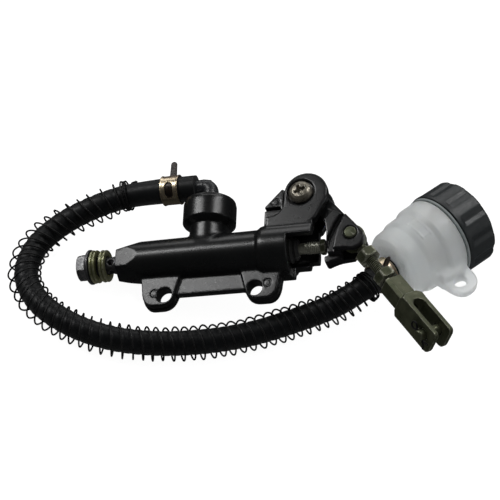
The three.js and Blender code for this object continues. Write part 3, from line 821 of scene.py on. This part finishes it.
def cylinder_rooms(f):
    """The bores and holes, the gap between the cheeks, and the cuts round the barrel's mouth."""
    return [
        f.rod(5.4, -51, -41), f.rod(2.5, -42, -37), f.rod(6.35, -38, 44), f.rod(7.7, 38.6, 40.1),
        f.rod(9.5, 42, 62), f.box((46.5, 62), (-20, 3), (-3, 20), 0.4),
        f.box((48.4, 62), (-20, -8.3), (-20, 20), 0.4), f.box((55.2, 62), (-20, -4.5), (-20, 20), 0.4),
        f.box((43.1, 69), (2, 15.7), (-5.4, 5.4)), f.box((31, 41), (22.1, 23.7), (1.4, 6), 0.3),
        f.box((43.1, 69), (15, 42), (-5.4, 5.4)), f.rod(11.4, 22, 34, "y"), f.rod(1.6, 3, 23, "y", (0, 3)),
        f.rod(3.4, -12, 12, "z", PIVOT), f.rod(7.4, 9.4, 12, "z", PIVOT, 0.2),
    ]


def cylinder_casting():
    f = Field((-51.5, -30.5, -15.5), (69.5, 41.5, 15.5), spacing(0.45))
    boss = f.turned([(0, 0), (10.5, 0), (10.5, 17), (11.6, 17.6), (14.6, 19.4), (14.6, 30.6), (14.2, 30.9),
                     (14.2, 32.3), (13.7, 32.8), (0, 32.8)], "y")
    gusset = f.prism([(32, 2), (32.2, 24.6), (41.4, 34.6), (43, 34), (43, 26), (43.1, 14), (46, 11), (46, 2)],
                     -11, 5, 0.6)
    cheek = cheek_outline()
    front, rear = f.prism(cheek, 5.4, 11, 0.8), f.prism(cheek, -11, -5.4, 0.8)
    ears = [union(0.3, f.prism(ear_outline(0.7, mirror), -1, 4, 0.6),
                  f.prism(ear_outline(0, mirror), -4, 0.2, 0.8)) for mirror in (False, True)]
    web = f.box((-16, 22), (-22, -6), (-2.5, 1.8), 0.5)
    foot = f.box((36, 48.4), (-15.4, -6), (-6, 2), 0.8)
    bridge = f.box((34.6, 46), (0, 15.2), (-8, 8))
    whole = union(1.0, union(1.8, barrel(f), boss), *ears, web, foot)
    whole = union(0.8, whole, gusset, np.minimum(bridge, np.minimum(front, rear)))
    ear_holes = [f.rod(4.1, -6, 6, "z", (x, -22.2)) for x in (-22, 28)]
    body = minus(whole, *ear_holes, fillet=0.6)
    body = minus(body, *ejector_marks(f), fillet=0.1)
    body = minus(body, *cylinder_rooms(f), fillet=0.45)
    stand_for("cylinder_body", f.surface(body), CYLINDER, 60, thin=0.4)


# ------------------------ banjo bolt and washers
def banjo_bolt():
    head = hexagonal(13.6, -73.2, -68.2, phase=33, chamfers=(1, 0))
    flange = turned([(0, -68.7), (7.2, -68.7), (9.0, -67.6), (9.65, -67.1), (9.65, -66.1), (9.3, -65.9),
                     (0, -65.9)])
    f = Field((-67.4, -5.4, -5.4), (-46, 5.4, 5.4), 0.3)
    shank = f.turned([(0, -66.5), (4.6, -66.5), (4.6, -53.4), (4.9, -53), (4.9, -47), (0, -47)])
    passages = f.rod(1.9, -8, 8, "z", (-54, 0)), f.rod(1.9, -8, 8, "y", (0, -54)), f.rod(1.9, -58, -40)
    shank = minus(shank, *passages, fillet=0.3)
    return joined(head, flange, f.surface(shank), threaded(5, -50.5, -41.4, 1.25, 0.7))


def crush_washer(left, right, radius):
    """A pressed washer: two rolled rims with a groove between them."""
    width = right - left
    rims = [(5.4, 0.12), (6.2, 0.0), (radius - 0.9, 0.0), (radius - 0.25, 0.08), (radius, 0.22),
            (radius - 0.25, 0.38), (radius - 1.1, 0.47), (radius - 1.1, 0.53), (radius - 0.35, 0.62),
            (radius - 0.1, 0.78), (radius - 0.35, 0.92), (radius - 1.0, 1.0), (6.2, 1.0), (5.4, 0.88)]
    return turned([(r, left + share * width) for r, share in rims], ease=0.4)


# ------------------------ return spring
def make_return_spring():
    """A coil in the bore, closed up at both ends."""
    radius, wire, turns, closing = 4.5, 0.55, 7.5, 0.68
    low, high, stroke = -36.9, -8.6, 6.9
    share = np.linspace(0, 1, 300)
    spread = share - closing * np.sin(2 * math.pi * share) / (2 * math.pi)
    place = spread * (high - low - 2 * wire) + low + wire
    angle = share * turns * 2 * math.pi
    line = np.stack([place, radius * np.cos(angle), radius * np.sin(angle)], 1)
    spring = stand_for("return_spring", swept(line, wire, 10), CYLINDER, 60)
    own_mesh(spring)


# ------------------------ inlet elbow
def inlet_elbow():
    f = Field((-25, 22.5, -11.5), (12, 49.2, 11.5), spacing(0.34))
    plug = f.turned([(0, 24), (10.6, 24), (10.6, 25.2), (8.9, 25.2), (8.9, 27.8), (10.6, 27.8), (10.6, 31),
                     (6.4, 31.6), (5.2, 33.2), (0, 33.2)], "y")
    stub = f.turned([(0, 30), (4.7, 30), (4.3, 38), (4.2, 43.6), (0, 43.6)], "y")
    nozzle = f.turned([(0, -24.4), (3.3, -24.4), (3.6, -23.6), (3.6, 0), (0, 0)], "x", (43.5, 0))
    shoulder = f.turned([(0, -10.4), (4.1, -10.4), (4.3, -9.8), (4.2, 0), (0, 0)], "x", (43.5, 0))
    # a quarter of a ring joins the upright stub to the level shoulder
    bend_r, tube_r = 4.2, 4.25
    ring_x, ring_y = f.x + bend_r, f.y - 39.3
    bend = np.hypot(np.hypot(ring_x, ring_y) - bend_r, f.z) - tube_r
    bend = np.maximum(bend, np.maximum(-ring_x, -ring_y))
    stub = np.maximum(stub, f.y - 39.4)
    shoulder = np.maximum(shoulder, f.x + 4.1)
    whole = union(0.8, union(0.6, stub, shoulder, bend), nozzle)
    whole = union(1.2, plug, whole)
    return f.surface(minus(whole, f.rod(1.9, -25, 0, "x", (43.5, 0)), f.rod(1.9, 23, 43.5, "y")))


# ------------------------ lever, screw, pins
def lever_outlines():
    """The plate, the forked tail, the lip under it, and the raised face, from the front."""
    web = arc(PIVOT, 9.6, 38, 290, 40) + curve((56.6, 19.5), (64.6, 17), (65.6, 11))
    web += [(66.4, 6), (66.4, -5), (77, -5), (82, 8.7), (76.8, 15.1)]
    fork = web[-1:] + curve(web[-1], (71.8, 8), (70.3, -5)) + [(77.6, -5.2)]
    fork += curve(fork[-1], (82, -6.6), (85.4, -3.4))
    fork += curve(fork[-1], (87.6, -0.4), (86.4, 3.2)) + [(82, 8.9)]
    lip = [(66.4, 1), (66.4, -4.8), (64.2, -5.4)]
    lip += curve(lip[-1], (63.8, -9.6), (66.2, -9.6))
    lip += curve(lip[-1], (71, -7.2), (76, -7)) + [(80, -6.6), (80, 1)]
    face = [(66.5, 20.3), (74.3, 16.2), (70.6, 10.4), (66.9, 1.7), (66.4, -3), (66.4, 6), (65.6, 11),
            (63.9, 15.4)]
    return web, fork, lip, face


def lever_casting():
    f = Field((42.5, -11, -9.2), (88.5, 39.5, 9.2), spacing(0.36))
    web, fork, lip, face = lever_outlines()
    plate = union(0.5, f.prism(web, -4.6, 4.6, 0.5), f.prism(face, 0, 6.2, 0.5))
    whole = union(0.8, plate, f.prism(fork, -8, 8, 0.7), f.prism(lip, -8, 0, 0.8))
    groove = [(74.6, 16.6), (70.6, 10.2), (67.1, 1.6), (66.2, -6), (70.1, -6), (71.2, 2.6), (73.9, 9.5),
              (76.6, 15.4)]
    pin_hole = f.rod(3.7, -10, 10, "z", LEVER_PIN)
    bush_hole = f.rod(5, -6, 6, "z", PIVOT)
    eye_room, rod_room = f.rod(8.2, -4, 4, "z", LEVER_PIN), f.box((74, 96), (-14, 3.3), (-4, 4))
    cheek_room = f.rod(18.8, 5.0, 12, "z", PIVOT)  # the raised face passes beside the front cheek
    return f.surface(minus(whole, cheek_room, f.prism(groove, 3.2, 12), pin_hole, eye_room, rod_room,
                           bush_hole, fillet=0.4))


def screw_head():
    """A pan head with a cross recess, on a plain shank along z."""
    f = Field((-7.2, -7.2, 9.0), (7.2, 7.2, 14.2), spacing(0.17))
    head = f.turned([(0, 9.7), (6.4, 9.7), (6.4, 10.9), (6.1, 11.6), (5.3, 12.5), (3.9, 13.2),
                     (0, 13.5)], "z")
    turn = 24 * DEG
    u = f.x * math.cos(turn) + f.y * math.sin(turn)
    v = f.y * math.cos(turn) - f.x * math.sin(turn)
    narrowing = (13.6 - f.z) * 0.34
    arms = [np.maximum(np.maximum(abs(a) - 3.3 + narrowing, abs(b) - 0.95 + narrowing * 0.4), 10.6 - f.z)
            for a, b in ((u, v), (v, u))]
    core = np.maximum(np.sqrt(u * u + v * v) - 1.9 + narrowing * 0.6, 10.4 - f.z)
    return joined(f.surface(minus(head, *arms, core, fillet=0.25)), rod(3, -10.8, 9.9, "z"))


def headless_pin(radius, low, high, axis):
    return turned([(0, low), (radius - 0.5, low), (radius, low + 0.5), (radius, high - 0.6),
                   (radius - 0.6, high), (0, high)], axis, 0.2)


def split_pin(reach, eye):
    """A wire doubled through a hole along x: an eye at one end, and two bent legs at the other."""
    wire, spread = 0.5, 1.6
    one_leg = [(-reach - 2.6, spread + 1.2), (-reach - 0.8, 0.9), (-reach + 1.2, 0.28), (0, 0.26),
               (reach - 0.4, 0.3)]
    loop = [(reach + eye * 0.45, eye * 0.78), (reach + eye * 1.25, eye * 0.95), (reach + eye * 1.95, 0),
            (reach + eye * 1.25, -eye * 0.95), (reach + eye * 0.45, -eye * 0.78)]
    other_leg = [(reach - 0.4, -0.3), (0, -0.26), (-reach + 1.2, -0.28), (-reach - 0.8, -0.9),
                 (-reach - 2.2, -spread - 0.6)]
    line = smooth_line([(x, y, 0) for x, y in one_leg + loop + other_leg], 5)
    return swept(line, wire, 8)


# ------------------------ rod and clevis
def rod_shapes():
    eye = Field((-8, -8, -4.6), (8.6, 8, 4.6), spacing(0.3))
    ball = union(1.0, eye.rod(6.9, -3.6, 3.6, "z", (0, 0), 0.5), eye.rod(3.0, 4, 8.4, "x"))
    return joined(eye.surface(minus(ball, eye.rod(3.7, -6, 6, "z"))), threaded(3.0, 8.0, 47, 1.0, 0.55))


def clevis_shape():
    f = Field((33, -7.5, -8.2), (77.6, 7.5, 8.2), spacing(0.26))
    wide, deep, tip = 6.3, 7.0, 76.6  # half the width, half the depth, and the end
    side = [(49, -deep), (tip - 3.4, -deep)]
    side += curve(side[-1], (tip - 0.3, -deep), (tip, 3.6 - deep)) + [(tip, deep - 3.0)]
    side += curve(side[-1], (tip - 0.3, deep), (tip - 2.6, deep)) + [(49, deep)]
    fork = slab(polygon(f.x, f.z, side), f.y, -wide, wide, 0.3)
    bevel = abs(f.y) + abs(f.z)
    neck = np.maximum(f.box((34, 50), (-5.6, 5.6), (-5.6, 5.6), 0.25), (bevel - 9.5) * 0.7071)
    ramp = np.maximum(f.box((47, 52), (-wide, wide), (-deep, deep), 0.3), 46.6 + (bevel - 9.5) * 0.6 - f.x)
    whole = union(0.3, neck, fork, ramp)
    root, half_slot = 55.8, 3.8
    slot = union(0.05, f.box((root, 80), (-half_slot, half_slot), (-9, 9)),
                 f.rod(half_slot, -9, 9, "z", (root, 0)))
    rod_hole = f.rod(3.2, 33, root)
    pin_hole = f.rod(3.3, -9, 9, "y", (0, CLEVIS_PIN))
    return f.surface(minus(whole, slot, rod_hole, pin_hole, fillet=0.3))


def clevis_pin_shape():
    out = 6.3  # to the fork's side
    pin = turned([(0, -out - 3.4), (2.5, -out - 3.4), (3, -out - 2.9), (3, out + 0.3), (5, out + 0.3),
                  (5, out + 1.7), (4, out + 2.5), (0, out + 2.7)], "y")
    return moved(pin, CLEVIS_PIN)


# ------------------------ reservoir and cap
def reservoir_tab(f):
    """The bracket's blade, and the broad rib that carries it."""
    blade = [(15.6, -18), (15.6, -24)]
    blade += curve(blade[-1], (15.6, -38.6), (24, -38.6))
    blade += curve(blade[-1], (33.4, -38.6), (34, -29)) + [(34.6, -18)]
    rib = [(16.4, -17), (16.4, -25.5), (20, -27.2), (29, -27.2), (33, -24), (33.4, -17)]
    return f.prism(blade, -2.3, 2.3, 0.9), f.prism(rib, -4.6, 4.6, 2.0)


def raised_frame(f):
    """A plain frame of thin ribs on the side that faces up."""
    along = [f.box((17, 23), (y - 0.35, y + 0.35), (15, 22.2), 0.2) for y in (-6, 6)]
    across = [f.box((x - 0.3, x + 0.3), (-7, 7), (15, 22.0), 0.2) for x in (17.2, 22.8)]
    return [np.maximum(rib, np.hypot(f.y, f.z) - 21.75) for rib in along + across]


def reservoir_shape():
    f = Field((-15, -39.5, -24.5), (49, 24.5, 24.5), spacing(0.5))
    spigot = [(0, -14), (3.3, -14), (3.8, -12.4), (3.6, -11.8), (3.6, 2.5)]
    wall = [(14.5, 2.5), (17.6, 3.4), (19.3, 6.2), (19.9, 13.0), (21.2, 15.4), (21.6, 24.0), (23.2, 26.6),
            (23.4, 36.4)]
    neck = [(21.5, 36.6), (21.5, 47.5), (0, 47.5)]
    outside = f.turned(spigot + wall + neck)
    inside = f.turned([(0, 4.5), (14, 4.5), (16.8, 5.6), (18, 8.2), (18.4, 14), (19.7, 16.2), (19.7, 49),
                       (0, 49)])
    shell = union(3.0, outside, *reservoir_tab(f))
    shell = union(0.5, shell, *raised_frame(f))
    tab_hole = slab(np.hypot((f.x - 24) / 1.25, f.y + 30.6) - 3.2, f.z, -6, 6)
    outlet = f.rod(2, -15, 6)
    return f.surface(minus(shell, inside, outlet, tab_hole, fillet=0.7))


SKIRT_R = 24.5


def cap_flutes(r, along, angles):
    """Twelve broad flutes round the skirt, which fade out near the open rim."""
    if r < SKIRT_R - 1.1:
        return np.full(len(angles), r)
    start = min(1.0, max(0.0, (along - 40.6) / 1.6))
    wave = np.abs(((angles / (30 * DEG)) % 1) - 0.5) * 2
    dip = np.clip((wave - 0.42) / 0.58, 0, 1)
    return r - start * np.sin(dip * math.pi / 2) ** 2


def cap_shape():
    top = [(0, 55.6), (18.2, 55.6), (19.0, 56.2), (19.8, 57), (22.9, 57), (23.9, 56.6), (SKIRT_R, 55.8)]
    skirt = [(SKIRT_R, along) for along in (50, 45, 42.3, 41.4, 40.6, 38.8)]
    inside = [(24.1, 38.5), (22.4, 38.5), (22, 38.9), (22, 51.2), (0, 51.2)]
    return turned(top + skirt + inside, "x", 0.3, 360, cap_flutes)


# ------------------------ making everything
hose, hose_path, hose_length = make_hose()
guard = make_guard()
on_nozzle = CYLINDER @ Matrix.Translation((-22.6, 43.5, 0))
on_spigot = RESERVOIR @ Matrix.Translation((-4.6, 0, 0))
inlet_clamp = make_clamp("hose_clamp_inlet", on_nozzle, 27)
reservoir_clamp = make_clamp("hose_clamp_reservoir", on_spigot, 27, 100)

cylinder_casting()
stand_for("banjo_bolt", banjo_bolt(), CYLINDER)
for node, (left, right, radius) in {"crush_washer_outer": (-65.5, -61.9, 9.3),
                                    "crush_washer_inner": (-60, -56.4, 9)}.items():
    stand_for(node, crush_washer(left, right, radius), CYLINDER, finish="washer_zinc")
make_return_spring()
stand_for("inlet_elbow", inlet_elbow(), CYLINDER, 50)
stand_for("rocker_lever", lever_casting(), CYLINDER, 50)
stand_for("pivot_screw", moved(screw_head(), *PIVOT), CYLINDER, 50)
stand_for("lever_pin", moved(headless_pin(3.4, -11.4, 8.8, "z"), *LEVER_PIN), CYLINDER)
stand_for("lever_split_pin", moved(spun(split_pin(4.4, 2.1), -38, "z"), *LEVER_PIN, -9.8), CYLINDER)
stand_for("adjuster_rod", rod_shapes(), ROD, 50)
for node, (low, high) in {"lock_nut_upper": (10.9, 16.1), "lock_nut_lower": (26.6, 31.8)}.items():
    stand_for(node, hexagonal(10.8, low, high, 3.1, 10), ROD)
stand_for("clevis_fork", clevis_shape(), CLEVIS, 50)
stand_for("clevis_pin", clevis_pin_shape(), CLEVIS)
across_pin = spun(spun(split_pin(3.9, 2.0), 90, "x"), 200, "y")
stand_for("clevis_split_pin", moved(across_pin, CLEVIS_PIN, -8.0), CLEVIS)
pushrod = joined(rod(3, 32.8, 54.5), threaded(3.3, 54.2, 62.2, 1.0, 0.5), headless_pin(2, 61.8, 66, "x"))
stand_for("pushrod", pushrod, CYLINDER, finish="rod_zinc")
stand_for("pushrod_nut", hexagonal(7.5, 62.5, 65.1, 2.1, 6), CYLINDER)
stand_for("reservoir_body", reservoir_shape(), RESERVOIR, 60, thin=0.6)
seal_ring = turned([(21.8, 36.8), (24, 36.8), (24, 38.1), (21.8, 38.1)], segments=120)
stand_for("cap_seal_ring", seal_ring, RESERVOIR)
stand_for("reservoir_cap", cap_shape(), RESERVOIR)

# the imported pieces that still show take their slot's finish
for node, part in frame["nodes"].items():
    if not part.hide_render:
        part.data.materials.clear()
        part.data.materials.append(FINISHES[SLOT_OF[node]])


# ------------------------ floor and light
def make_floor():
    mesh = bpy.data.meshes.new("floor")
    half = 4.0
    corners = [(-half, -half, 0), (half, -half, 0), (half, half, 0), (-half, half, 0)]
    mesh.from_pydata(corners, [], [(0, 1, 2, 3)])
    floor = added("floor", mesh)
    floor.location.z = -0.0002  # just under the lowest piece
    f = Finish("floor", (0.2, 0.2, 0.2), 0.9)
    f.shader.inputs["Emission Color"].default_value = (1, 1, 1, 1)
    f.shader.inputs["Emission Strength"].default_value = 0.96
    mesh.materials.append(f.material)
    floor.visible_glossy = False


def soft_light(name, place, size, watts):
    """A rectangular light, size across and along, that faces the middle of the assembly."""
    data = bpy.data.lights.new(name, "AREA")
    data.shape = "RECTANGLE"
    data.size, data.size_y = size
    data.energy = watts
    light = added(name, data)
    light.location = place
    light.rotation_euler = (Vector(place) - Vector((0, 0, 0.02))).to_track_quat("Z", "Y").to_euler()
    return light


def make_light():
    soft_light("left_softbox", (-0.84, 0.4, 0.95), (0.14, 0.66), 4.8)
    soft_light("right_softbox", (0.5, 0.36, 0.95), (0.14, 0.66), 3.4)
    soft_light("far_left_softbox", (-1.45, 0.58, 0.95), (0.2, 0.4), 1.5)
    soft_light("back_softbox", (0.1, 1.25, 0.7), (1.5, 0.5), 4.5)
    soft_light("side_softbox", (1.25, -0.15, 0.5), (0.5, 0.5), 0.7)
    fill = soft_light("fill", (0.25, -0.2, 1.3), (0.9, 0.9), 4)
    fill.visible_glossy = False
    world = bpy.data.worlds.new("studio")
    bpy.context.scene.world = world
    world.use_nodes = True
    background = world.node_tree.nodes["Background"]
    background.inputs["Color"].default_value = (1, 1, 1, 1)
    background.inputs["Strength"].default_value = 0.025
    bpy.context.scene.view_settings.view_transform = "Standard"


make_floor()
make_light()
